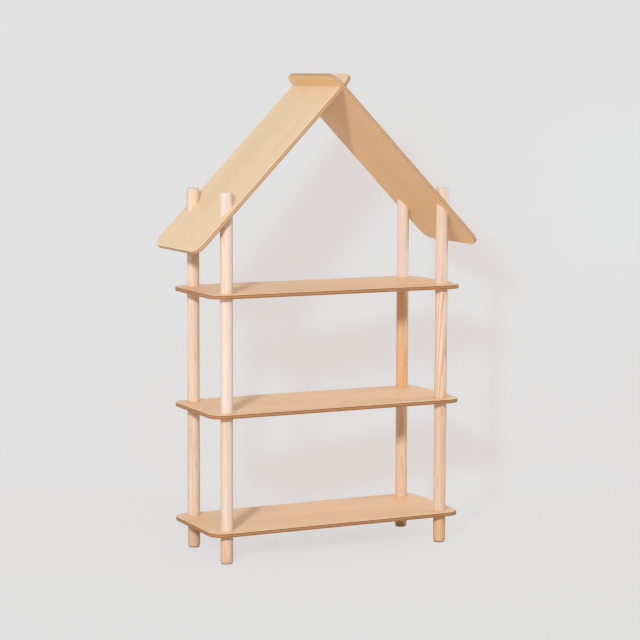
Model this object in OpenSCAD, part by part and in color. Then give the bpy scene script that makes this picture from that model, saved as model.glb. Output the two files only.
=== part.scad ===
// House shaped bookcase: round posts carry three board shelves and a pitched roof of two crossed boards.
// Millimetres. The floor is z = 0, the middle of the shelves is x = y = 0, the front faces -y.

/* [Shelves] */
// Width of each shelf, end to end
shelf_w = 800; // [600:10:1000]
// Depth of each shelf, front to back
shelf_d = 320; // [260:5:420]
// Thickness of the shelf boards
shelf_t = 12; // [9:1:20]
// Radius of the shelf corners, seen from above
shelf_corner_r = 44; // [20:1:60]
// Clear height between one shelf and the next
bay_h = 327; // [220:1:400]

/* [Posts] */
// Diameter of the round posts
post_d = 36; // [30:1:42]
// From a shelf's end to the post axis
post_inset_x = 55; // [40:1:80]
// From a shelf's front or back edge to the post axis
post_inset_y = 38; // [30:1:60]
// Height of the feet under the bottom shelf
foot_h = 82; // [50:1:140]
// Height of the upper posts on their axis, from the top shelf to the roof
upper_post_h = 218; // [150:1:300]
// Height of the post caps on their axis, from the roof up
cap_h = 50; // [40:1:80]
// Rounding of the feet's bottom edge
foot_round = 8; // [2:0.5:12]
// Rounding of the caps' top edge
cap_round = 6; // [1:0.5:10]
// Rounding of the post ends that meet a shelf
post_end_round = 1; // [0.5:0.5:2]

/* [Roof] */
// Slope of both roof boards, in degrees
roof_pitch = 45.7; // [40:0.1:50]
// Along the slope, from the post axis down to a roof board's lower end
eave_l = 151; // [60:1:200]
// Along the slope, from the ridge crossing up to a roof board's crest end
crest_l = 45; // [30:1:70]
// How far the roof boards stand out past the shelves, front and back
roof_overhang_y = 2.5; // [0:0.5:20]
// Thickness of the roof boards
roof_t = 12; // [9:1:18]
// Radius of the roof boards' corners
roof_corner_r = 40; // [10:1:60]
// Clearance on each side of a ridge slot
slot_clearance = 0.15; // [0.1:0.05:0.5]

/* [Boards] */
// Chamfer that eases every board edge
edge_ease = 1; // [0.5:0.5:2]

/* [Fastenings] */
// Outside diameter of the threaded studs
stud_d = 8; // [6:1:10]
// Radial clearance of the stud holes through the shelves
stud_hole_clearance = 0.5; // [0.2:0.1:0.8]
// Wall of the threaded inserts
insert_wall = 1.9; // [1.2:0.1:3]
// Length of the threaded inserts
insert_l = 18; // [12:1:25]
// How deep the inserts are sunk below the post end
insert_recess = 0.5; // [0.3:0.1:1]
// Free depth past each end of a stud
stud_end_gap = 3.5; // [1:0.5:5]
// Diameter of the roof dowels
dowel_d = 10; // [8:1:12]
// How far a roof dowel reaches into the post and into the cap, on its axis
dowel_grip = 30; // [20:1:32]
// Chamfer on the dowel and stud ends
pin_chamfer = 1; // [0.5:0.5:2]
// Free depth past the end of a roof dowel
dowel_end_gap = 1; // [0.5:0.5:3]
// Radial clearance of inserts, studs in inserts and dowels
fit_clearance = 0.1; // [0.05:0.05:0.3]

/* [Hidden] */
$fn = 96;

LEFT = -1;
RIGHT = 1;
FRONT = -1;
BACK = 1;

shelf_wood = [0.86, 0.72, 0.55];
roof_wood = [0.90, 0.77, 0.62];
post_wood = [0.95, 0.84, 0.73];
steel = [0.72, 0.73, 0.75];
brass = [0.80, 0.66, 0.36];

// Post axes
post_x = shelf_w / 2 - post_inset_x;
post_y = shelf_d / 2 - post_inset_y;

// Undersides of the shelves, and where each length of post starts
bottom_shelf_z = foot_h;
lower_post_z = bottom_shelf_z + shelf_t;
middle_shelf_z = lower_post_z + bay_h;
middle_post_z = middle_shelf_z + shelf_t;
top_shelf_z = middle_post_z + bay_h;
upper_post_z = top_shelf_z + shelf_t;

// Roof: heights on the post axis, and the middle of the ridge crossing
roof_t_upright = roof_t / cos(roof_pitch);
roof_under_z = upper_post_z + upper_post_h;
roof_over_z = roof_under_z + roof_t_upright;
ridge_z = roof_under_z + roof_t_upright / 2 + post_x * tan(roof_pitch);

// A slot takes the other board, which crosses at twice the pitch
crossing_angle = 2 * roof_pitch;
slot_w = roof_t * (1 + abs(cos(crossing_angle))) / sin(crossing_angle) + 2 * slot_clearance;

// Roof boards: their length and depth
roof_slope_l = post_x / cos(roof_pitch) + eave_l;
roof_l = roof_slope_l + crest_l;
roof_d = shelf_d + 2 * roof_overhang_y;

// Studs and inserts: how far a stud reaches into a post end, and the insert's outside diameter
stud_grip = insert_recess + insert_l - stud_end_gap;
insert_d = stud_d + 2 * fit_clearance + 2 * insert_wall;

// How far a slanted post end rises or falls across the post's radius
mitre_reach = post_d / 2 * tan(roof_pitch);

// Overlap of a cutting solid past the face that it cuts
cut_over = 1;

// ---- Shared shapes

// Moves its children to the post axis of one corner
module at_corner(side_x, side_y) {
    translate([side_x * post_x, side_y * post_y, 0]) children();
}

// Repeats its children at all four post axes
module at_all_corners() {
    for (side_x = [LEFT, RIGHT], side_y = [FRONT, BACK])
        at_corner(side_x, side_y) children();
}

// Cross-section of a board with eased edges, its width along x and its thickness along y
module eased_section(w, t) {
    polygon([
        [-w / 2, edge_ease], [-w / 2 + edge_ease, 0], [w / 2 - edge_ease, 0], [w / 2, edge_ease],
        [w / 2, t - edge_ease], [w / 2 - edge_ease, t], [-w / 2 + edge_ease, t], [-w / 2, t - edge_ease]
    ]);
}

// One eased round corner of a board
module eased_corner(r, t) {
    rotate_extrude()
        polygon([
            [0, 0], [r - edge_ease, 0], [r, edge_ease],
            [r, t - edge_ease], [r - edge_ease, t], [0, t]
        ]);
}

// Flat board with round corners and eased edges: l along x, w along y, from z = 0 to t
module board(l, w, t, r) {
    union() {
        rotate([90, 0, 90])
            translate([0, 0, -l / 2 + r])
                linear_extrude(l - 2 * r) eased_section(w, t);
        rotate([90, 0, 0])
            translate([0, 0, -w / 2 + r])
                linear_extrude(w - 2 * r) eased_section(l, t);
        for (end_x = [-1, 1], end_y = [-1, 1])
            translate([end_x * (l / 2 - r), end_y * (w / 2 - r), 0]) eased_corner(r, t);
    }
}

// Round rod standing on z = 0 with a rounded edge at each end
module turned_rod(h, bottom_round, top_round) {
    r = post_d / 2;
    rotate_extrude()
        union() {
            translate([0, bottom_round]) square([r, h - bottom_round - top_round]);
            square([r - bottom_round, h / 2]);
            translate([0, h / 2]) square([r - top_round, h / 2]);
            translate([r - bottom_round, bottom_round]) circle(bottom_round);
            translate([r - top_round, h - top_round]) circle(top_round);
        }
}

// Round pin from z = 0 to h with chamfered ends
module chamfered_pin(d, h) {
    r = d / 2;
    rotate_extrude()
        polygon([
            [0, 0], [r - pin_chamfer, 0], [r, pin_chamfer],
            [r, h - pin_chamfer], [r - pin_chamfer, h], [0, h]
        ]);
}

// The frame of one roof board: x runs down the slope from the ridge crossing, z is its outer face's way
module roof_frame(side_x) {
    translate([0, 0, ridge_z])
        mirror([side_x == LEFT ? 1 : 0, 0, 0])
            rotate([0, roof_pitch, 0]) children();
}

// All space on the outer side of a roof board's face, which lies at height face_z in the board's frame
module beyond_roof_face(side_x, face_z) {
    reach = 2 * shelf_w;
    roof_frame(side_x)
        translate([-reach, -reach, face_z]) cube([2 * reach, 2 * reach, reach]);
}

// All space on the inner side of a roof board's face
module below_roof_face(side_x, face_z) {
    reach = 2 * shelf_w;
    roof_frame(side_x)
        translate([-reach, -reach, face_z - reach]) cube([2 * reach, 2 * reach, reach]);
}

// Bore for a threaded insert, open at the post end at z = 0 and running up
module insert_bore() {
    translate([0, 0, -cut_over])
        cylinder(d = insert_d + 2 * fit_clearance, h = insert_recess + insert_l + cut_over);
}

// ---- Shelves

// Shelf with its four stud holes, underside at z = shelf_z
module shelf(shelf_z) {
    color(shelf_wood)
        translate([0, 0, shelf_z])
            difference() {
                board(shelf_w, shelf_d, shelf_t, shelf_corner_r);
                at_all_corners()
                    translate([0, 0, -cut_over])
                        cylinder(d = stud_d + 2 * stud_hole_clearance, h = shelf_t + 2 * cut_over);
            }
}

// ---- Posts

// Foot under the bottom shelf, with an insert bore in its top
module foot(side_x, side_y) {
    color(post_wood)
        at_corner(side_x, side_y)
            difference() {
                turned_rod(foot_h, foot_round, post_end_round);
                translate([0, 0, foot_h]) mirror([0, 0, 1]) insert_bore();
            }
}

// Post between two shelves, with an insert bore in each end
module bay_post(side_x, side_y, start_z) {
    color(post_wood)
        at_corner(side_x, side_y)
            translate([0, 0, start_z])
                difference() {
                    turned_rod(bay_h, post_end_round, post_end_round);
                    insert_bore();
                    translate([0, 0, bay_h]) mirror([0, 0, 1]) insert_bore();
                }
}

// Upper post: insert bore below, and above a slanted top with a dowel bore under the roof board
module upper_post(side_x, side_y) {
    color(post_wood)
        difference() {
            at_corner(side_x, side_y)
                translate([0, 0, upper_post_z])
                    difference() {
                        turned_rod(upper_post_h + 2 * mitre_reach, post_end_round, post_end_round);
                        insert_bore();
                        translate([0, 0, upper_post_h - dowel_grip - dowel_end_gap]) dowel_bore();
                    }
            beyond_roof_face(side_x, -roof_t / 2);
        }
}

// Cap above the roof: slanted underside with a dowel bore, rounded top
module cap(side_x, side_y) {
    rod_h = cap_h + 2 * mitre_reach;
    color(post_wood)
        difference() {
            at_corner(side_x, side_y)
                translate([0, 0, roof_over_z + cap_h - rod_h])
                    difference() {
                        turned_rod(rod_h, cap_round, cap_round);
                        translate([0, 0, rod_h - cap_h + dowel_grip + dowel_end_gap])
                            mirror([0, 0, 1]) dowel_bore();
                    }
            below_roof_face(side_x, roof_t / 2);
        }
}

// Dowel bore from its blind end at z = 0 up through the slanted face
module dowel_bore() {
    cylinder(d = dowel_d + 2 * fit_clearance, h = dowel_grip + dowel_end_gap + mitre_reach + cut_over);
}

// ---- Roof

// Roof board with its dowel holes; its slot opens at slot_side, the front or the back
module roof_panel(side_x, slot_side) {
    color(roof_wood)
        difference() {
            roof_frame(side_x)
                difference() {
                    translate([roof_slope_l - roof_l / 2, 0, -roof_t / 2])
                        board(roof_l, roof_d, roof_t, roof_corner_r);
                    ridge_slot(slot_side);
                }
            for (side_y = [FRONT, BACK])
                at_corner(side_x, side_y)
                    translate([0, 0, roof_under_z - mitre_reach])
                        cylinder(d = dowel_d + 2 * fit_clearance, h = roof_t_upright + 2 * mitre_reach);
        }
}

// Slot across the ridge, from one edge of a board to just past the middle of its depth
module ridge_slot(slot_side) {
    slot_l = roof_d / 2 + slot_clearance + cut_over;
    translate([-slot_w / 2, slot_side == FRONT ? -roof_d / 2 - cut_over : -slot_clearance, -roof_t])
        cube([slot_w, slot_l, 2 * roof_t]);
}

// ---- Fastenings

// Four studs through one shelf
module shelf_studs(shelf_z) {
    color(steel)
        at_all_corners()
            translate([0, 0, shelf_z - stud_grip]) chamfered_pin(stud_d, shelf_t + 2 * stud_grip);
}

// One threaded insert, from z = 0 to its length
module insert() {
    difference() {
        cylinder(d = insert_d, h = insert_l);
        translate([0, 0, -cut_over])
            cylinder(d = stud_d + 2 * fit_clearance, h = insert_l + 2 * cut_over);
    }
}

// Inserts in the bottom ends of the posts that start at height start_z
module inserts_above(start_z) {
    at_all_corners()
        translate([0, 0, start_z + insert_recess]) insert();
}

// Inserts in the top ends of the posts that end at height end_z
module inserts_below(end_z) {
    at_all_corners()
        translate([0, 0, end_z - insert_recess - insert_l]) insert();
}

// Inserts in both ends of the posts between two shelves
module bay_post_inserts(start_z) {
    color(brass) {
        inserts_above(start_z);
        inserts_below(start_z + bay_h);
    }
}

// Four dowels through the roof boards
module roof_dowels() {
    color(post_wood)
        at_all_corners()
            translate([0, 0, roof_under_z - dowel_grip])
                chamfered_pin(dowel_d, roof_t_upright + 2 * dowel_grip);
}

// ---- Nodes

shelf(bottom_shelf_z);  // bottom_shelf
shelf(middle_shelf_z);  // middle_shelf
shelf(top_shelf_z);  // top_shelf

roof_panel(LEFT, FRONT);  // left_roof_panel
roof_panel(RIGHT, BACK);  // right_roof_panel

foot(LEFT, FRONT);  // front_left_foot
foot(RIGHT, FRONT);  // front_right_foot
foot(LEFT, BACK);  // back_left_foot
foot(RIGHT, BACK);  // back_right_foot

bay_post(LEFT, FRONT, lower_post_z);  // front_left_lower_post
bay_post(RIGHT, FRONT, lower_post_z);  // front_right_lower_post
bay_post(LEFT, BACK, lower_post_z);  // back_left_lower_post
bay_post(RIGHT, BACK, lower_post_z);  // back_right_lower_post

bay_post(LEFT, FRONT, middle_post_z);  // front_left_middle_post
bay_post(RIGHT, FRONT, middle_post_z);  // front_right_middle_post
bay_post(LEFT, BACK, middle_post_z);  // back_left_middle_post
bay_post(RIGHT, BACK, middle_post_z);  // back_right_middle_post

upper_post(LEFT, FRONT);  // front_left_upper_post
upper_post(RIGHT, FRONT);  // front_right_upper_post
upper_post(LEFT, BACK);  // back_left_upper_post
upper_post(RIGHT, BACK);  // back_right_upper_post

cap(LEFT, FRONT);  // front_left_cap
cap(RIGHT, FRONT);  // front_right_cap
cap(LEFT, BACK);  // back_left_cap
cap(RIGHT, BACK);  // back_right_cap

shelf_studs(bottom_shelf_z);  // bottom_shelf_studs
shelf_studs(middle_shelf_z);  // middle_shelf_studs
shelf_studs(top_shelf_z);  // top_shelf_studs

color(brass) inserts_below(foot_h);  // foot_inserts
bay_post_inserts(lower_post_z);  // lower_post_inserts
bay_post_inserts(middle_post_z);  // middle_post_inserts
color(brass) inserts_above(upper_post_z);  // upper_post_inserts

roof_dowels();
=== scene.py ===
import math
import random

import bmesh
import bpy
from mathutils import Matrix, Vector


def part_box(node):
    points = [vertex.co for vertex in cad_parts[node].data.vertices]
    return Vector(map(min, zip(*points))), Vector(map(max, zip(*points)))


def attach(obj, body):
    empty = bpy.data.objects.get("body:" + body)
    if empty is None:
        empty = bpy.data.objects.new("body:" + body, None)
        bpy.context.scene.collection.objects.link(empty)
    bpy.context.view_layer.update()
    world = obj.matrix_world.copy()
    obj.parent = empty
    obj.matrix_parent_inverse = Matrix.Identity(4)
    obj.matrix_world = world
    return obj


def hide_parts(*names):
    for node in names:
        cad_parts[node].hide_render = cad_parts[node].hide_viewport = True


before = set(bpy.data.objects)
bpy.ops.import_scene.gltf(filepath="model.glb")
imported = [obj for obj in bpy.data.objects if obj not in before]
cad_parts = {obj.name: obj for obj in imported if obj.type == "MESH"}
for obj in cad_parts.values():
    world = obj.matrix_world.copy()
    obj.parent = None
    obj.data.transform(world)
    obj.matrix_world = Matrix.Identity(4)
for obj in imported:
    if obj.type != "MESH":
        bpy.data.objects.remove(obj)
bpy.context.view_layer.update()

# House shaped bookcase: round pine posts, plywood shelves and two crossed plywood roof boards.
# Metres. The floor is z = 0, the front faces -y.

# ---- Sizes that the boxes of the CAD nodes don't give
ROOF_PITCH = math.radians(45.7)
EAVE_L = 0.151            # along the slope, post axis to a roof board's lower end
CREST_L = 0.045           # along the slope, ridge crossing to a roof board's crest end
SHELF_CORNER_R = 0.044
ROOF_CORNER_R = 0.040
EDGE_R = 0.0017           # rounding of every board edge
SLOT_CLEARANCE = 0.00015  # at each side of a slot at the ridge, and at its end
FOOT_ROUND = 0.008
CAP_ROUND = 0.006
POST_END_ROUND = 0.001
STUD_HOLE_R = 0.0045
INSERT_BORE_R = 0.0061
INSERT_BORE_L = 0.0185
DOWEL_BORE_R = 0.0051
DOWEL_BORE_L = 0.031

# ---- Mesh detail
POST_SEGMENTS = 96
HOLE_SEGMENTS = 48
CORNER_SEGMENTS = 24
ROUND_SEGMENTS = 6
SUPPORT = 0.0008          # strip of flat face next to a rounding, which keeps the shading flat
WELD = 1e-6               # vertices nearer than this become one
SHARP_ANGLE = math.radians(35)

# ---- Places that the CAD gives
SHELVES = ("bottom_shelf", "middle_shelf", "top_shelf")
SIDES = {"left": -1, "right": 1}
ENDS = {"front": -1, "back": 1}
shelf_lo, shelf_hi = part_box("bottom_shelf")
BOARD_T = shelf_hi.z - shelf_lo.z
foot_lo, foot_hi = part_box("front_right_foot")
POST_R = (foot_hi.x - foot_lo.x) / 2
POST_X = (foot_hi.x + foot_lo.x) / 2
POST_Y = -(foot_hi.y + foot_lo.y) / 2
roof_lo, roof_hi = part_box("right_roof_panel")
ROOF_D = roof_hi.y - roof_lo.y

# Roof heights on the post axis, the middle of the ridge crossing, the length of a roof board below it, the
# angle between the two boards and the width of their slots
ROOF_T_UPRIGHT = BOARD_T / math.cos(ROOF_PITCH)
ROOF_UNDER_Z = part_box("front_right_upper_post")[1].z - POST_R * math.tan(ROOF_PITCH)
ROOF_OVER_Z = ROOF_UNDER_Z + ROOF_T_UPRIGHT
RIDGE_Z = ROOF_UNDER_Z + ROOF_T_UPRIGHT / 2 + POST_X * math.tan(ROOF_PITCH)
ROOF_SLOPE_L = POST_X / math.cos(ROOF_PITCH) + EAVE_L
CROSSING = 2 * ROOF_PITCH
SLOT_W = BOARD_T * (1 + abs(math.cos(CROSSING))) / math.sin(CROSSING) + 2 * SLOT_CLEARANCE


def srgb(red, green, blue):
    """A colour given as 0 to 255 screen values, as the linear values that shaders take."""
    linear = [
        value / 12.92 if value <= 0.04045 else ((value + 0.055) / 1.055) ** 2.4
        for value in (red / 255, green / 255, blue / 255)
    ]
    return (*linear, 1.0)


def heading(turn, down):
    """Unit vector turned from +y towards +x, and down from level."""
    return Vector((math.sin(turn) * math.cos(down), math.cos(turn) * math.cos(down), -math.sin(down)))


def level_right(turn):
    """Level unit vector to the right of a heading."""
    return Vector((math.cos(turn), -math.sin(turn), 0))


# ---- Mesh helpers

def ring(bm, points):
    """New vertices at these points, in order."""
    return [bm.verts.new(point) for point in points]


def bridge(bm, first, second):
    """Quads between two closed rings of equal length."""
    for i in range(len(first)):
        j = (i + 1) % len(first)
        bm.faces.new((first[i], first[j], second[j], second[i]))


def ring_edges(bm, verts):
    """The edges round a closed ring, made where they aren't there yet."""
    edges = []
    for i, vert in enumerate(verts):
        ends = (vert, verts[(i + 1) % len(verts)])
        edges.append(bm.edges.get(ends) or bm.edges.new(ends))
    return edges


def quarter_round(radius):
    """Steps of a quarter round from a flat face to a side: (inset from the side, depth below the face)."""
    steps = []
    for i in range(ROUND_SEGMENTS + 1):
        angle = math.pi / 2 * i / ROUND_SEGMENTS
        steps.append((radius * (1 - math.sin(angle)), radius * (1 - math.cos(angle))))
    return steps


def finished_piece(name, bm, node, material, timber):
    """Turns a bmesh into a piece that stands for a CAD node. timber(point) is the point in the wood's own
    coordinates, kept as an attribute that the wood materials read."""
    bmesh.ops.recalc_face_normals(bm, faces=bm.faces)
    mesh = bpy.data.meshes.new(name)
    bm.to_mesh(mesh)
    bm.free()
    mesh.shade_smooth()
    mesh.set_sharp_from_angle(angle=SHARP_ANGLE)
    grain = mesh.attributes.new("timber", "FLOAT_VECTOR", "POINT")
    for vert, item in zip(mesh.vertices, grain.data):
        item.vector = timber(vert.co)
    mesh.materials.append(material)
    piece = bpy.data.objects.new(name, mesh)
    bpy.context.scene.collection.objects.link(piece)
    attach(piece, "root")
    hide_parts(node)


# ---- Boards

# Each board's veneer is cut from another place of the wood, along and across the grain: where the shelves
# and the roof boards start, and the step from one board to the next
SHELF_GRAIN_START = (0.0, 0.0)
ROOF_GRAIN_START = (12.3, 4.1)
GRAIN_STEP = (3.1, 0.7)


def board_outline(x_lo, x_hi, y_lo, y_hi, corner_r, slot=None):
    """Outline of a board with round corners, anticlockwise, as pairs of a point and the way its edge is
    rounded off. slot is (half width, end y) of a sharp-edged slot across x = 0, which opens at y_hi and may
    bite into the corner at x_lo."""
    corners = (
        (x_hi - corner_r, y_lo + corner_r, -90),
        (x_hi - corner_r, y_hi - corner_r, 0),
        (x_lo + corner_r, y_hi - corner_r, 90),
        (x_lo + corner_r, y_lo + corner_r, 180),
    )
    arcs = []
    for x, y, start in corners:
        arc = []
        for i in range(CORNER_SEGMENTS + 1):
            angle = math.radians(start + 90 * i / CORNER_SEGMENTS)
            outward = Vector((math.cos(angle), math.sin(angle)))
            arc.append((Vector((x, y)) + outward * corner_r, -outward))
        arcs.append(arc)
    if slot:
        half, end_y = slot
        bite = max(0.0, x_lo + corner_r + half)
        corner_y = y_hi - corner_r + math.sqrt(corner_r ** 2 - bite ** 2)
        still, down = Vector((0, 0)), Vector((0, -1))
        mouth = [
            (Vector((half, y_hi)), down),
            (Vector((half, end_y)), still),
            (Vector((-half, end_y)), still),
            (Vector((-half, corner_y)), down),
        ]
        arcs[2] = [step for step in arcs[2] if step[0].x < -half - EDGE_R]
        arcs.insert(2, mouth)
    return [step for arc in arcs for step in arc]


def board_mesh(outline, thickness, holes, place):
    """Board between z = -thickness / 2 and thickness / 2 with rounded edges. holes are pairs of rings, on
    the upper and the lower face; place is the matrix from the board's own frame."""
    bm = bmesh.new()
    half = thickness / 2
    profile = [(EDGE_R + SUPPORT, half)]
    profile += [(inset, half - depth) for inset, depth in quarter_round(EDGE_R)]
    profile += [(0.0, half - EDGE_R - SUPPORT)]
    profile += [(inset, -z) for inset, z in reversed(profile)]
    loops = []
    for inset, z in profile:
        moved = [point + inward * inset for point, inward in outline]
        loops.append(ring(bm, [(point.x, point.y, z) for point in moved]))
    for upper, lower in zip(loops, loops[1:]):
        bridge(bm, upper, lower)
    top_edges = ring_edges(bm, loops[0])
    bottom_edges = ring_edges(bm, loops[-1])
    for upper_points, lower_points in holes:
        upper = ring(bm, upper_points)
        lower = ring(bm, lower_points)
        bridge(bm, upper, lower)
        top_edges += ring_edges(bm, upper)
        bottom_edges += ring_edges(bm, lower)
    for edges in (top_edges, bottom_edges):
        bmesh.ops.triangle_fill(bm, use_beauty=True, use_dissolve=False, edges=edges)
    bmesh.ops.remove_doubles(bm, verts=bm.verts, dist=WELD)
    bm.transform(place)
    return bm


def board_timber(place, start, index):
    """Maps a point to (along the grain, across it, through the thickness), shifted for each board."""
    to_board = place.inverted()
    along_shift = start[0] + GRAIN_STEP[0] * index
    across_shift = start[1] + GRAIN_STEP[1] * index

    def timber(point):
        own = to_board @ point
        return (own.x + along_shift, own.y + across_shift, own.z)

    return timber


def upright_hole(centre, radius, thickness, place):
    """Rings of an upright round hole where it meets a board's upper and lower face."""
    to_board = place.inverted()
    down = (to_board.to_3x3() @ Vector((0, 0, -1))).normalized()
    rings = []
    for face_z in (thickness / 2, -thickness / 2):
        points = []
        for i in range(HOLE_SEGMENTS):
            angle = 2 * math.pi * i / HOLE_SEGMENTS
            start = to_board @ Vector((
                centre[0] + radius * math.cos(angle),
                centre[1] + radius * math.sin(angle),
                centre[2],
            ))
            points.append(start + down * ((face_z - start.z) / down.z))
        rings.append(points)
    return rings


def make_shelf(node, index, material):
    lo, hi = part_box(node)
    centre = (lo + hi) / 2
    place = Matrix.Translation(centre)
    half = (hi - lo) / 2
    outline = board_outline(-half.x, half.x, -half.y, half.y, SHELF_CORNER_R)
    holes = [
        upright_hole((side * POST_X, end * POST_Y, centre.z), STUD_HOLE_R, BOARD_T, place)
        for side in SIDES.values() for end in ENDS.values()
    ]
    bm = board_mesh(outline, BOARD_T, holes, place)
    timber = board_timber(place, SHELF_GRAIN_START, index)
    finished_piece(f"{node}_board", bm, node, material, timber)


def roof_place(side):
    """Frame of a roof board: x runs down the slope from the ridge crossing, z is the way its face looks."""
    tilt = Matrix.Rotation(ROOF_PITCH, 4, "Y")
    turn = Matrix.Identity(4) if side > 0 else Matrix.Rotation(math.pi, 4, "Z")
    return Matrix.Translation((0, 0, RIDGE_Z)) @ turn @ tilt


def make_roof_board(side_name, index, material):
    """Both roof boards are the same board, the left one turned half round: its slot opens at the front."""
    side = SIDES[side_name]
    place = roof_place(side)
    slot = (SLOT_W / 2, -SLOT_CLEARANCE)
    half_d = ROOF_D / 2
    outline = board_outline(-CREST_L, ROOF_SLOPE_L, -half_d, half_d, ROOF_CORNER_R, slot)
    holes = [
        upright_hole((side * POST_X, end * POST_Y, ROOF_OVER_Z), DOWEL_BORE_R, BOARD_T, place)
        for end in ENDS.values()
    ]
    bm = board_mesh(outline, BOARD_T, holes, place)
    timber = board_timber(place, ROOF_GRAIN_START, index)
    node = f"{side_name}_roof_panel"
    finished_piece(f"{side_name}_roof_board", bm, node, material, timber)


# ---- Posts

# How the posts are cut from their logs, drawn between these for each post: how far off the log's heart is,
# how much it leans two ways for each metre, and how far up the log the post starts
HEART_OFF = (0.030, 0.095)
HEART_LEAN_A = (-0.035, 0.035)
HEART_LEAN_B = (-0.020, 0.020)
LOG_START = (0, 40)
# Posts whose rings show as tall arches: the way that the arches face, how far off the log's heart is, and
# how much it leans
POST_CUT = {
    "front_right_middle_post": (math.radians(282), 0.060, -0.040),
}


def turned_mesh(axis, rings):
    """Solid turned round an upright axis from its lowest ring to its highest. A ring is (radius, height,
    slope), where slope is how far it rises for each metre along x."""
    bm = bmesh.new()
    loops = []
    for radius, height, slope in rings:
        points = []
        for i in range(POST_SEGMENTS):
            angle = 2 * math.pi * i / POST_SEGMENTS
            x = radius * math.cos(angle)
            points.append((axis.x + x, axis.y + radius * math.sin(angle), height + slope * x))
        loops.append(ring(bm, points))
    for lower, upper in zip(loops, loops[1:]):
        bridge(bm, lower, upper)
    bm.faces.new(loops[0])
    bm.faces.new(loops[-1])
    return bm


def round_rings(face_z, radius, upwards):
    """Rings of a rounded post end, from its flat face to the side. upwards is 1 where the post is above."""
    rings = [(POST_R - radius - SUPPORT, face_z, 0)]
    rings += [(POST_R - inset, face_z + upwards * depth, 0) for inset, depth in quarter_round(radius)]
    rings += [(POST_R, face_z + upwards * (radius + SUPPORT), 0)]
    return rings


def bored_end(face_z, upwards):
    """Rings of a post end with an insert bore, from the bottom of the bore out to the side."""
    bore = [(INSERT_BORE_R, face_z + upwards * INSERT_BORE_L, 0), (INSERT_BORE_R, face_z, 0)]
    return bore + round_rings(face_z, POST_END_ROUND, upwards)


def post_timber(name, axis, middle_z):
    """Maps a point to the log's own coordinates: two across it, from its heart, and one along it."""
    rng = random.Random(name)
    turn = rng.uniform(0, 2 * math.pi)
    heart = rng.uniform(*HEART_OFF)
    lean_a = rng.uniform(*HEART_LEAN_A)
    lean_b = rng.uniform(*HEART_LEAN_B)
    start = rng.uniform(*LOG_START)
    if name in POST_CUT:
        turn, heart, lean_a = POST_CUT[name]
        lean_b = 0.0
    cos, sin = math.cos(turn), math.sin(turn)

    def timber(point):
        x, y, z = point.x - axis.x, point.y - axis.y, point.z - middle_z
        return (x * cos + y * sin + heart + lean_a * z, y * cos - x * sin + lean_b * z, z + start)

    return timber


def make_post(node, rings, material):
    lo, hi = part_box(node)
    side = math.copysign(1, lo.x + hi.x)
    end = math.copysign(1, lo.y + hi.y)
    axis = Vector((side * POST_X, end * POST_Y, 0))
    timber = post_timber(node, axis, (lo.z + hi.z) / 2)
    finished_piece(f"{node}_wood", turned_mesh(axis, rings), node, material, timber)


def foot_rings(node):
    lo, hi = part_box(node)
    return round_rings(lo.z, FOOT_ROUND, 1) + bored_end(hi.z, -1)[::-1]


def bay_post_rings(node):
    lo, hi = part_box(node)
    return bored_end(lo.z, 1) + bored_end(hi.z, -1)[::-1]


def roof_slope(lo, hi):
    """How far the roof rises for each metre along x, over a post with this box."""
    return -math.copysign(math.tan(ROOF_PITCH), lo.x + hi.x)


def upper_post_rings(node):
    lo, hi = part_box(node)
    slope = roof_slope(lo, hi)
    return bored_end(lo.z, 1) + [
        (POST_R, ROOF_UNDER_Z, slope),
        (DOWEL_BORE_R, ROOF_UNDER_Z, slope),
        (DOWEL_BORE_R, ROOF_UNDER_Z - DOWEL_BORE_L, 0),
    ]


def cap_rings(node):
    lo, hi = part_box(node)
    slope = roof_slope(lo, hi)
    return [
        (DOWEL_BORE_R, ROOF_OVER_Z + DOWEL_BORE_L, 0),
        (DOWEL_BORE_R, ROOF_OVER_Z, slope),
        (POST_R, ROOF_OVER_Z, slope),
    ] + round_rings(hi.z, CAP_ROUND, -1)[::-1]


POST_SHAPES = {
    "foot": foot_rings,
    "lower_post": bay_post_rings,
    "middle_post": bay_post_rings,
    "upper_post": upper_post_rings,
    "cap": cap_rings,
}


# ---- Shader helpers

def new_material(name):
    material = bpy.data.materials.new(name)
    material.use_nodes = True
    material.node_tree.nodes.clear()
    return material, material.node_tree


def add(tree, kind, inputs=None, **settings):
    """Adds a node. Each input is a socket to link or a plain value."""
    made = tree.nodes.new(kind)
    for key, value in settings.items():
        setattr(made, key, value)
    for key, value in (inputs or {}).items():
        if isinstance(value, bpy.types.NodeSocket):
            tree.links.new(value, made.inputs[key])
        else:
            made.inputs[key].default_value = value
    return made


def maths(tree, operation, *values, clamp=False):
    inputs = dict(enumerate(values))
    return add(tree, "ShaderNodeMath", inputs, operation=operation, use_clamp=clamp).outputs[0]


def remap(tree, value, from_lo, from_hi, to_lo=0.0, to_hi=1.0):
    """Smooth step from one range to the other, which holds its end levels outside."""
    inputs = {"Value": value, "From Min": from_lo, "From Max": from_hi, "To Min": to_lo, "To Max": to_hi}
    return add(tree, "ShaderNodeMapRange", inputs, interpolation_type="SMOOTHSTEP").outputs["Result"]


def mix(tree, factor, first, second):
    """Colour mix: first where factor is 0, second where it is 1."""
    return add(tree, "ShaderNodeMix", {0: factor, 6: first, 7: second}, data_type="RGBA").outputs[2]


def scaled(tree, vector, scale):
    return add(tree, "ShaderNodeVectorMath", {0: vector, 1: scale}, operation="MULTIPLY").outputs[0]


def noise(tree, vector, scale, detail=2.0, roughness=0.5):
    """Noise that is stretched by a scale along each axis, in cycles per metre."""
    inputs = {"Vector": scaled(tree, vector, scale), "Scale": 1.0, "Detail": detail, "Roughness": roughness}
    return add(tree, "ShaderNodeTexNoise", inputs).outputs["Fac"]


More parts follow.
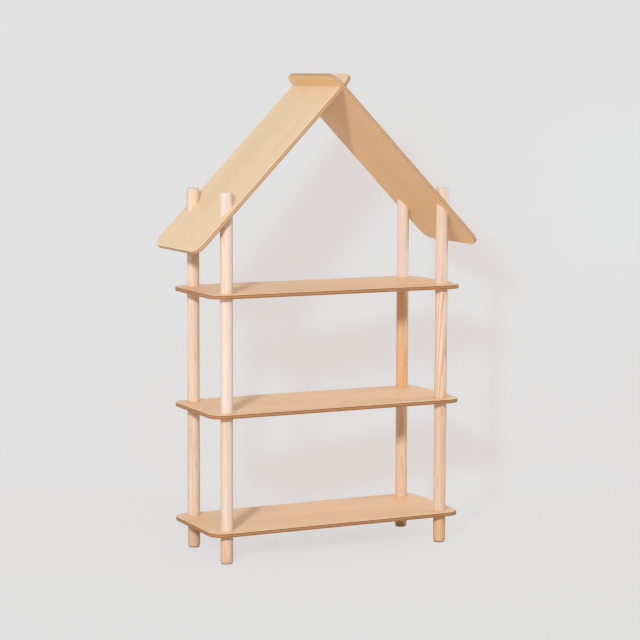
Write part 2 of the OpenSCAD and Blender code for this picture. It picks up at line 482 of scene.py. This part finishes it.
def ramp(tree, factor, stops):
    """Grey level along a value from 0 to 1, from pairs of position and level."""
    made = add(tree, "ShaderNodeValToRGB", {"Fac": factor})
    elements = made.color_ramp.elements
    for position, _ in stops[1:-1]:
        elements.new(position)
    for element, (position, level) in zip(elements, stops):
        element.position = position
        element.color = (level, level, level, 1)
    return made.outputs["Color"]


def wood_coordinates(tree):
    """The place in a replacing piece's own wood, from the attribute that finished_piece keeps."""
    return add(tree, "ShaderNodeAttribute", attribute_name="timber").outputs["Vector"]


def object_coordinates(tree):
    return add(tree, "ShaderNodeTexCoord").outputs["Object"]


def finish_wood(tree, colour, roughness, height, bump_distance, coat):
    """Closes a wood material: a thin satin coat over the given colour, roughness and height."""
    bump = add(tree, "ShaderNodeBump", {"Height": height, "Distance": bump_distance, "Strength": 1.0})
    surface = add(tree, "ShaderNodeBsdfPrincipled", {
        "Base Color": colour,
        "Roughness": roughness,
        "IOR": 1.45,
        "Specular IOR Level": 0.35,
        "Coat Weight": coat,
        "Coat Roughness": 0.35,
        "Normal": bump.outputs[0],
    })
    add(tree, "ShaderNodeOutputMaterial", {"Surface": surface.outputs[0]})


# ---- Materials of the object

# How dark the plies are, from the middle of a board to its face: (distance from the middle, tone).
# The outer cross plies are the dark ones, with a thin glue line on each side.
PLY_TONES = (
    (0.0, 0.25), (0.00080, 0.25), (0.00085, 0.70), (0.00095, 0.70), (0.00100, 0.05),
    (0.00270, 0.05), (0.00275, 1.0), (0.00285, 1.0), (0.00290, 0.92),
    (0.00440, 0.92), (0.00445, 1.0), (0.00455, 1.0), (0.00460, 0.0), (0.00600, 0.0),
)
END_GRAIN = 0.36                    # how far the end grain makes a ply's tone vary
VENEER_END = (0.0009, 0.0007)       # between these depths below a face its veneer turns into plies
# Painted shade: the tint that makes the lower faces' veneer darker and warmer, as the undersides look down
# into shade
UNDERSIDE_SHADE_TINT = (0.96, 0.855, 0.70)


def plywood(name, pale, deep, core_pale, core_deep):
    """Veneered plywood: fine straight grain on the faces, plies and glue lines on the edges. The lower
    face's veneer is the upper one's colour under a darker, warmer tint, which paints shade on the faces
    that look down."""
    material, tree = new_material(name)
    place = wood_coordinates(tree)
    axes = add(tree, "ShaderNodeSeparateXYZ", {0: place})
    depth = maths(tree, "ABSOLUTE", axes.outputs["Z"])

    clouds = noise(tree, place, (1.1, 9.0, 0.0), 2.0)
    streaks = noise(tree, place, (2.2, 120.0, 0.0), 3.0, 0.6)
    fibres = noise(tree, place, (16.0, 900.0, 0.0), 2.0, 0.6)
    flecks = remap(tree, noise(tree, place, (90.0, 1300.0, 0.0), 1.0), 0.60, 0.74)
    pores = remap(tree, noise(tree, place, (55.0, 2300.0, 0.0), 1.0), 0.62, 0.76)
    tone = maths(tree, "MULTIPLY_ADD", streaks, 0.5, maths(tree, "MULTIPLY", clouds, 0.5))
    tone = maths(tree, "MULTIPLY_ADD", remap(tree, fibres, 0.35, 0.65), 0.10, tone)
    veneer = mix(tree, remap(tree, tone, 0.40, 0.70), pale, deep)
    veneer = mix(tree, maths(tree, "MULTIPLY", flecks, 0.18), veneer, core_pale)
    veneer = mix(tree, maths(tree, "MULTIPLY", pores, 0.30), veneer, core_deep)
    # Painted shade: the lower face gets the darker, warmer tint
    back = maths(tree, "LESS_THAN", axes.outputs["Z"], 0.0)
    veneer = mix(tree, back, veneer, scaled(tree, veneer, UNDERSIDE_SHADE_TINT))

    half = BOARD_T / 2
    plies = ramp(tree, maths(tree, "DIVIDE", depth, half), [(z / half, level) for z, level in PLY_TONES])
    end_grain = noise(tree, place, (700.0, 700.0, 260.0), 2.0, 0.6)
    ply_tone = maths(tree, "MULTIPLY_ADD", end_grain, END_GRAIN, plies)
    ply_tone = maths(tree, "SUBTRACT", ply_tone, END_GRAIN / 2, clamp=True)
    core = mix(tree, ply_tone, core_pale, core_deep)
    under_veneer = remap(tree, depth, half - VENEER_END[0], half - VENEER_END[1], 1.0, 0.0)
    colour = mix(tree, under_veneer, veneer, core)

    shine = maths(tree, "MULTIPLY_ADD", streaks, 0.12, 0.42)
    shine = maths(tree, "MULTIPLY_ADD", under_veneer, 0.28, shine)
    height = maths(tree, "MULTIPLY_ADD", pores, -0.4, fibres)
    finish_wood(tree, colour, shine, height, bump_distance=0.00002, coat=0.12)
    return material


# How dark the wood is across one growth ring, from its early wood to its late wood
RING_TONES = ((0.0, 0.0), (0.45, 0.12), (0.86, 0.75), (0.94, 0.85), (1.0, 0.0))
RING_SWAY = 0.009                   # how far the rings wander from true circles

# The posts are cut from pine of several tones: pale wood, deeper wood, late wood lines, the width of the
# rings and how strongly their late wood shows. Some of these tones also stand in for shade or light on the
# posts that they are given to.
PINE_STOCK = {
    "white": (srgb(237, 222, 210), srgb(232, 214, 200), srgb(210, 176, 152), 0.0046, 0.45),
    "plain": (srgb(236, 215, 197), srgb(229, 204, 182), srgb(202, 162, 132), 0.0046, 0.42),
    "honey": (srgb(235, 210, 187), srgb(229, 199, 172), srgb(205, 160, 125), 0.0046, 0.48),
    "tan": (srgb(228, 198, 172), srgb(220, 185, 155), srgb(196, 148, 111), 0.0046, 0.48),
    "amber": (srgb(232, 196, 160), srgb(226, 183, 141), srgb(198, 142, 98), 0.0046, 0.50),
    "arched": (srgb(240, 217, 194), srgb(233, 205, 177), srgb(190, 130, 84), 0.0064, 0.70),
}
# The stock of each post that isn't plain. Besides the wood's own tone this paints shade and light: tan and
# amber on the feet stand in for the shade under the bottom shelf, amber and honey on the back right middle
# and lower posts for the warm shade under the shelves, and white on the front left middle post partly for
# more light on it.
POST_STOCK_AND_SHADE = {
    "front_left_cap": "white",
    "front_left_middle_post": "white",
    "front_left_foot": "tan",
    "front_right_middle_post": "arched",
    "front_right_lower_post": "honey",
    "front_right_foot": "amber",
    "back_left_foot": "tan",
    "back_right_upper_post": "white",
    "back_right_middle_post": "amber",
    "back_right_lower_post": "honey",
    "back_right_foot": "amber",
}
RESIN = srgb(150, 100, 66)


def pine(name, pale, deep, line, ring_width, ring_depth):
    """Solid pine: growth rings round the log's heart, fibres along it and a few dark resin strokes."""
    material, tree = new_material(name)
    place = wood_coordinates(tree)
    sway = noise(tree, place, (14.0, 14.0, 1.3), 2.0)
    across = scaled(tree, place, (1.0, 1.0, 0.0))
    from_heart = add(tree, "ShaderNodeVectorMath", {0: across}, operation="LENGTH").outputs["Value"]
    from_heart = maths(tree, "MULTIPLY_ADD", sway, RING_SWAY, from_heart)
    ring_place = maths(tree, "FRACT", maths(tree, "DIVIDE", from_heart, ring_width))
    late = ramp(tree, ring_place, RING_TONES)
    fibres = noise(tree, place, (650.0, 650.0, 7.0), 3.0, 0.6)
    clouds = noise(tree, place, (22.0, 22.0, 2.5), 2.0)
    strokes = remap(tree, noise(tree, place, (420.0, 420.0, 16.0), 1.0), 0.68, 0.76)
    colour = mix(tree, remap(tree, clouds, 0.35, 0.65), pale, deep)
    colour = mix(tree, maths(tree, "MULTIPLY", late, ring_depth), colour, line)
    colour = mix(tree, maths(tree, "MULTIPLY", remap(tree, fibres, 0.42, 0.70), 0.20), colour, line)
    colour = mix(tree, maths(tree, "MULTIPLY", strokes, 0.55), colour, RESIN)
    shine = maths(tree, "MULTIPLY_ADD", fibres, 0.14, 0.42)
    height = maths(tree, "MULTIPLY_ADD", late, 0.6, fibres)
    finish_wood(tree, colour, shine, height, bump_distance=0.00005, coat=0.06)
    return material


def dowel_beech(name):
    """Plain beech dowel: short pale flecks along upright fibres."""
    material, tree = new_material(name)
    place = object_coordinates(tree)
    fibres = noise(tree, place, (900.0, 900.0, 30.0), 3.0, 0.6)
    flecks = remap(tree, noise(tree, place, (1500.0, 1500.0, 260.0), 1.0), 0.60, 0.72)
    colour = mix(tree, remap(tree, fibres, 0.35, 0.65), srgb(226, 190, 150), srgb(204, 162, 120))
    colour = mix(tree, maths(tree, "MULTIPLY", flecks, 0.5), colour, srgb(166, 118, 80))
    shine = maths(tree, "MULTIPLY_ADD", fibres, 0.15, 0.5)
    finish_wood(tree, colour, shine, fibres, bump_distance=0.00005, coat=0.0)
    return material


def threaded_metal(name, bright, dull, pitch, depth):
    """Metal with a rolled thread: its crests lie round each upright axis as fine rings, a pitch apart."""
    material, tree = new_material(name)
    place = object_coordinates(tree)
    height = add(tree, "ShaderNodeSeparateXYZ", {0: place}).outputs["Z"]
    turns = maths(tree, "PINGPONG", height, pitch / 2)
    crest = remap(tree, turns, 0.0, pitch / 2)
    stains = noise(tree, place, (260.0, 260.0, 260.0), 3.0, 0.6)
    colour = mix(tree, maths(tree, "MULTIPLY", crest, remap(tree, stains, 0.35, 0.65)), dull, bright)
    shine = maths(tree, "MULTIPLY_ADD", stains, 0.25, 0.2)
    bump = add(tree, "ShaderNodeBump", {"Height": crest, "Distance": depth, "Strength": 1.0})
    surface = add(tree, "ShaderNodeBsdfPrincipled", {
        "Base Color": colour,
        "Metallic": 1.0,
        "Roughness": shine,
        "Normal": bump.outputs[0],
    })
    add(tree, "ShaderNodeOutputMaterial", {"Surface": surface.outputs[0]})
    return material


# ---- Floor, wall and light

CAMERA_PLACE = Vector((-2.761, -5.705, 1.403))
CAMERA_YAW = math.radians(25.878)   # from +y towards +x; the wall faces the camera
CAMERA_PITCH = math.radians(6.607)  # down
CAMERA_ROLL = math.radians(0.186)
CAMERA_FRAME = 36.0                 # millimetres across
CAMERA_LENS = 122.3                 # millimetres
CAMERA_REACH = (0.1, 200.0)         # the nearest and farthest that it sees

BACKDROP = srgb(226, 226, 226)
BOUNCE = srgb(224, 218, 212)
# The shares of the backdrop's red, green and blue that wall and floor show by themselves, and those that
# they show of the light on them
WALL_OWN = (0.915, 0.826, 0.802)
WALL_LIT = (0.080, 0.163, 0.190)
FLOOR_OWN = (0.875, 0.842, 0.834)
FLOOR_LIT = (0.130, 0.165, 0.175)
CONTACT = 0.0035                    # painted contact shadow: the floor's glow goes dark in narrower gaps, under the feet's rounding
CONTACT_FADE = (0.45, 0.55)         # from here to here from the middle, that painted shadow fades out
FAR_OFF = (2.5, 7.0)                # from here to here, floor and wall fade into the backdrop colour
BLACK = (0.0, 0.0, 0.0, 1.0)

FLOOR_REACH = 30.0                  # each way from the middle
WALL_REACH = 12.0                   # each way along the wall
WALL_TOP = 8.0
WALL_DISTANCE = 0.75                # from the bookcase's middle
WALL_LIFT = 0.0004                  # of the wall's foot above the floor
COVE_R = 0.10
COVE_STEPS = 12

AMBIENT = (0.095, 0.080, 0.062, 1.0)
LIGHT_AIM = Vector((0, 0, 0.7))     # what the softboxes look at
FILL_SPREAD = math.radians(50)


def seen_directly(tree):
    """1 for rays from the camera or from a mirroring or clear surface, 0 for light that bounces on."""
    path = add(tree, "ShaderNodeLightPath")
    seen = maths(tree, "MAXIMUM", path.outputs["Is Camera Ray"], path.outputs["Is Glossy Ray"])
    return maths(tree, "MAXIMUM", seen, path.outputs["Is Transmission Ray"])


def stage_material(name, bounce, own_share, lit_share, contact=0.0, one_sided=False):
    """Pale matt surface. Seen directly it shows own_share of each colour of the backdrop by itself and gets
    only lit_share from the light on it, which keeps it even and its shadows faint and warm; everything else
    is lit by it as by plain paint of the bounce colour. Seen directly it goes dark in gaps narrower than
    contact, a painted contact shadow, and far off it turns into the plain backdrop colour, which hides its
    ends."""
    material, tree = new_material(name)
    place = object_coordinates(tree)
    seen = seen_directly(tree)
    away = add(tree, "ShaderNodeVectorMath", {0: place}, operation="LENGTH").outputs["Value"]
    far = remap(tree, away, *FAR_OFF)
    mottle = remap(tree, noise(tree, place, (3.0, 3.0, 3.0), 3.0), 0.3, 0.7, 0.97, 1.0)
    lit_part = [value * share for value, share in zip(BACKDROP, lit_share)]
    lit_part = mix(tree, far, (*lit_part, 1.0), BLACK)
    paint = mix(tree, mottle, BLACK, mix(tree, seen, bounce, lit_part))
    matt = add(tree, "ShaderNodeBsdfDiffuse", {"Color": paint})
    own_part = [value * share for value, share in zip(BACKDROP, own_share)]
    own_part = mix(tree, far, (*own_part, 1.0), BACKDROP)
    # Painted contact shadow: ambient occlusion dims the glow in tight gaps near the bookcase
    if contact:
        air = add(tree, "ShaderNodeAmbientOcclusion", {"Distance": contact}, samples=8).outputs["AO"]
        open_air = maths(tree, "MAXIMUM", air, remap(tree, away, *CONTACT_FADE))
        seen = maths(tree, "MULTIPLY", seen, open_air)
    glow = add(tree, "ShaderNodeEmission", {"Color": own_part, "Strength": seen})
    shown = add(tree, "ShaderNodeAddShader", {0: matt.outputs[0], 1: glow.outputs[0]}).outputs[0]
    if one_sided:
        behind = add(tree, "ShaderNodeNewGeometry").outputs["Backfacing"]
        clear = add(tree, "ShaderNodeBsdfTransparent").outputs[0]
        shown = add(tree, "ShaderNodeMixShader", {0: behind, 1: shown, 2: clear}).outputs[0]
    add(tree, "ShaderNodeOutputMaterial", {"Surface": shown})
    return material


def stage_piece(name, verts, faces, material):
    mesh = bpy.data.meshes.new(name)
    mesh.from_pydata(verts, [], faces)
    mesh.materials.append(material)
    piece = bpy.data.objects.new(name, mesh)
    bpy.context.scene.collection.objects.link(piece)


def make_stage():
    """A flat floor and a wall square to the camera, which meets the floor in a quarter round cove."""
    reach = FLOOR_REACH
    corners = [(-reach, -reach, 0), (reach, -reach, 0), (reach, reach, 0), (-reach, reach, 0)]
    paint = stage_material("floor_paint", BOUNCE, FLOOR_OWN, FLOOR_LIT, contact=CONTACT)
    stage_piece("floor", corners, [(0, 1, 2, 3)], paint)

    away = heading(CAMERA_YAW, 0)
    along = level_right(CAMERA_YAW)
    profile = []
    for i in range(COVE_STEPS + 1):
        angle = math.pi / 2 * i / COVE_STEPS
        profile.append((WALL_DISTANCE - COVE_R + COVE_R * math.sin(angle), COVE_R * (1 - math.cos(angle))))
    profile.append((WALL_DISTANCE, WALL_TOP))
    verts = []
    for distance, height in profile:
        for sideways in (-WALL_REACH, WALL_REACH):
            verts.append(away * distance + along * sideways + Vector((0, 0, height + WALL_LIFT)))
    faces = [(2 * i, 2 * i + 1, 2 * i + 3, 2 * i + 2) for i in range(len(profile) - 1)]
    paint = stage_material("wall_paint", BOUNCE, WALL_OWN, WALL_LIT, one_sided=True)
    stage_piece("wall", verts, faces, paint)


def place_lamp(data, place, travel, colour, mirrored=True):
    data.color = colour
    lamp = bpy.data.objects.new(data.name, data)
    lamp.location = place
    lamp.rotation_mode = "QUATERNION"
    lamp.rotation_quaternion = travel.to_track_quat("-Z", "Y")
    lamp.visible_glossy = mirrored
    bpy.context.scene.collection.objects.link(lamp)


def make_softbox(name, place, diameter, strength, colour, beam=180, mirrored=True):
    """Round softbox that looks at the bookcase's middle. Strength 1 lights a white surface there to 1. beam
    is the angle that its grid lets through; a lamp that isn't mirrored gives no glare on the lacquer."""
    travel = LIGHT_AIM - place
    data = bpy.data.lights.new(name, "AREA")
    data.shape = "DISK"
    data.size = diameter
    data.spread = math.radians(beam)
    # A narrow beam gathers the lamp's whole power, so it needs less for the same light
    gathered = 1 - data.spread / 2 / math.tan(data.spread / 2)
    data.energy = strength * math.pi ** 2 * travel.length_squared * gathered
    place_lamp(data, place, travel, colour, mirrored)


def make_fill(name, side_angle, height_angle, strength, colour):
    """Wide even light from far off. side_angle is turned from behind the camera towards its left."""
    travel = heading(CAMERA_YAW + math.radians(side_angle), math.radians(height_angle))
    data = bpy.data.lights.new(name, "SUN")
    data.energy = strength * math.pi
    data.angle = FILL_SPREAD
    place_lamp(data, Vector((0, 0, 3)), travel, colour)


def make_world():
    """Even ambient light; the camera and reflections see the backdrop colour instead."""
    world = bpy.data.worlds.new("studio")
    bpy.context.scene.world = world
    world.use_nodes = True
    tree = world.node_tree
    tree.nodes.clear()
    seen = seen_directly(tree)
    air = add(tree, "ShaderNodeBackground", {"Color": AMBIENT, "Strength": 1.0})
    backdrop = add(tree, "ShaderNodeBackground", {"Color": BACKDROP, "Strength": 1.0})
    shown = add(tree, "ShaderNodeMixShader", {0: seen, 1: air.outputs[0], 2: backdrop.outputs[0]})
    add(tree, "ShaderNodeOutputWorld", {"Surface": shown.outputs[0]})


def make_camera():
    """Camera at the photograph's place."""
    forward = heading(CAMERA_YAW, CAMERA_PITCH)
    level = level_right(CAMERA_YAW)
    upright = level.cross(forward)
    right = level * math.cos(CAMERA_ROLL) + upright * math.sin(CAMERA_ROLL)
    up = upright * math.cos(CAMERA_ROLL) - level * math.sin(CAMERA_ROLL)
    data = bpy.data.cameras.new("camera")
    data.sensor_fit = "HORIZONTAL"
    data.sensor_width = CAMERA_FRAME
    data.lens = CAMERA_LENS
    data.clip_start = CAMERA_REACH[0]
    data.clip_end = CAMERA_REACH[1]
    camera = bpy.data.objects.new("camera", data)
    turned = Matrix((right, up, -forward)).transposed().to_4x4()
    camera.matrix_world = Matrix.Translation(CAMERA_PLACE) @ turned
    bpy.context.scene.collection.objects.link(camera)
    bpy.context.scene.camera = camera


# ---- The scene

make_camera()
make_stage()
make_world()
make_softbox(
    "key", Vector((-3.90, -4.67, 2.90)),
    diameter=0.65, strength=0.73, colour=(0.97, 1.0, 1.06), mirrored=False)
make_softbox(
    "rim", Vector((1.50, -0.30, 1.15)),
    diameter=0.60, strength=0.26, colour=(0.98, 1.0, 1.00), beam=130)
make_fill("top_fill", side_angle=-20, height_angle=50, strength=0.15, colour=(1.0, 1.0, 1.0))
make_fill("right_fill", side_angle=-65, height_angle=30, strength=0.05, colour=(1.12, 1.0, 0.70))
make_fill("left_fill", side_angle=75, height_angle=15, strength=0.14, colour=(1.08, 1.0, 0.80))

shelf_ply = plywood(
    "shelf_plywood",
    pale=srgb(242, 209, 171), deep=srgb(234, 198, 158),
    core_pale=srgb(190, 142, 99), core_deep=srgb(126, 81, 49))
roof_ply = plywood(
    "roof_plywood",
    pale=srgb(239, 211, 173), deep=srgb(230, 200, 161),
    core_pale=srgb(216, 177, 141), core_deep=srgb(152, 105, 72))
post_pine = {stock: pine(f"{stock}_pine", *looks) for stock, looks in PINE_STOCK.items()}

for index, shelf_node in enumerate(SHELVES):
    make_shelf(shelf_node, index, shelf_ply)
make_roof_board("left", 0, roof_ply)
make_roof_board("right", 1, roof_ply)
for end_name in ENDS:
    for side_name in SIDES:
        for shape, rings_of in POST_SHAPES.items():
            post_node = f"{end_name}_{side_name}_{shape}"
            # The wood's tone, which also holds painted shade or light for some posts
            stock = POST_STOCK_AND_SHADE.get(post_node, "plain")
            make_post(post_node, rings_of(post_node), post_pine[stock])

# The hidden nodes stay as the CAD gives them, with finishes by the last word of their name
HIDDEN_FINISHES = {
    "studs": threaded_metal(
        "zinc_steel", srgb(205, 208, 212), srgb(150, 153, 158), pitch=0.00125, depth=0.0005),
    "inserts": threaded_metal(
        "plain_brass", srgb(222, 190, 120), srgb(176, 142, 78), pitch=0.0015, depth=0.0004),
    "dowels": dowel_beech("dowel_beech"),
}
for node_name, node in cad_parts.items():
    kind = node_name.rsplit("_", 1)[-1]
    if kind in HIDDEN_FINISHES:
        node.data.materials.clear()
        node.data.materials.append(HIDDEN_FINISHES[kind])

bpy.context.scene.view_settings.view_transform = "Standard"
